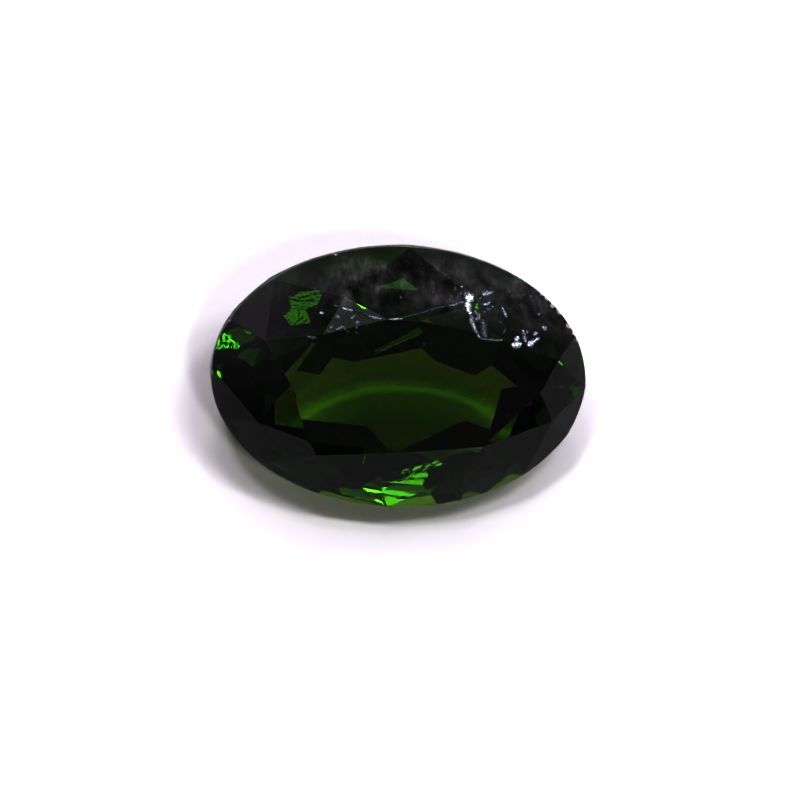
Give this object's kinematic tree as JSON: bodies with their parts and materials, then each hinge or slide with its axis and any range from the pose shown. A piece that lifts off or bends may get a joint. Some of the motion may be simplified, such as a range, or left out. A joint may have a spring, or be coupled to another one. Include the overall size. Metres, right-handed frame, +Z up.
{
  "type": "faceted gemstone",
  "caption": "Oval faceted chrome diopside gemstone with a brilliant-cut crown and a stepped pavilion, lying tilted on one facet of its back.",
  "frame": {"origin": "middle of the stone's extent on the floor that it rests on", "axes": "+X along the stone's long axis to its lower end, +Y to the raised back edge, +Z up from the floor"},
  "size_m": [0.007, 0.0044, 0.0036],
  "materials": {
    "gemstone": "polished clear deep green crystal"
  },
  "bodies": {
    "root": {"gemstone": "gemstone"}
  },
  "joints": []
}
